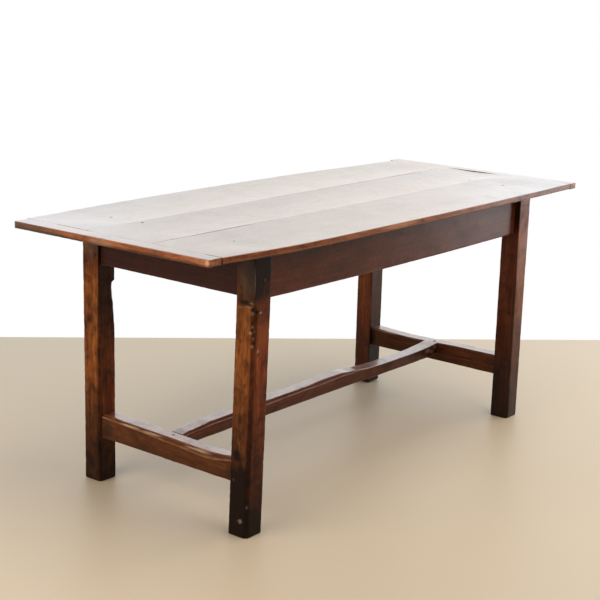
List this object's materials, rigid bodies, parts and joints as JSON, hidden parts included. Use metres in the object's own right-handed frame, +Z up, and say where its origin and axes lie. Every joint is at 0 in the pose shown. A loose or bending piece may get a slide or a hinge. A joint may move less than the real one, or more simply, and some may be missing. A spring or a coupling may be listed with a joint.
{
  "type": "farmhouse dining table",
  "caption": "Long oak table with a cleated plank top on square chamfered legs, pegged rails and low H-shaped stretchers.",
  "frame": {"origin": "on the floor, under the middle of the top", "axes": "+X along the table, to the right seen from the front long side; +Y towards the back long side; +Z up"},
  "size_m": [1.755, 0.7507, 0.76],
  "materials": {
    "top_boards": "old oak boards, wax polished to a high gloss",
    "cleats": "old oak, waxed, with a worn red brown edge",
    "legs": "old oak, dark, waxed over tool marks and dents",
    "rails": "old oak, dark red brown, waxed",
    "stretchers": "old oak, dark, with foot worn and rubbed upper edges",
    "pegs": "dark oak end grain"
  },
  "bodies": {
    "root": {"plank_front": "top_boards", "plank_middle": "top_boards", "plank_back": "top_boards", "cleat_left": "cleats", "cleat_right": "cleats", "leg_front_left": "legs", "leg_front_right": "legs", "leg_back_left": "legs", "leg_back_right": "legs", "rail_front": "rails", "rail_back": "rails", "rail_left": "rails", "rail_right": "rails", "stretcher_left": "stretchers", "stretcher_right": "stretchers", "stretcher_centre": "stretchers", "pegs_rail_front": "pegs", "pegs_rail_back": "pegs", "pegs_rail_left": "pegs", "pegs_rail_right": "pegs", "pegs_stretcher_left": "pegs", "pegs_stretcher_right": "pegs", "pegs_stretcher_centre": "pegs", "pegs_top_left": "pegs", "pegs_top_right": "pegs", "pegs_cleat_left": "pegs", "pegs_cleat_right": "pegs"}
  },
  "joints": []
}
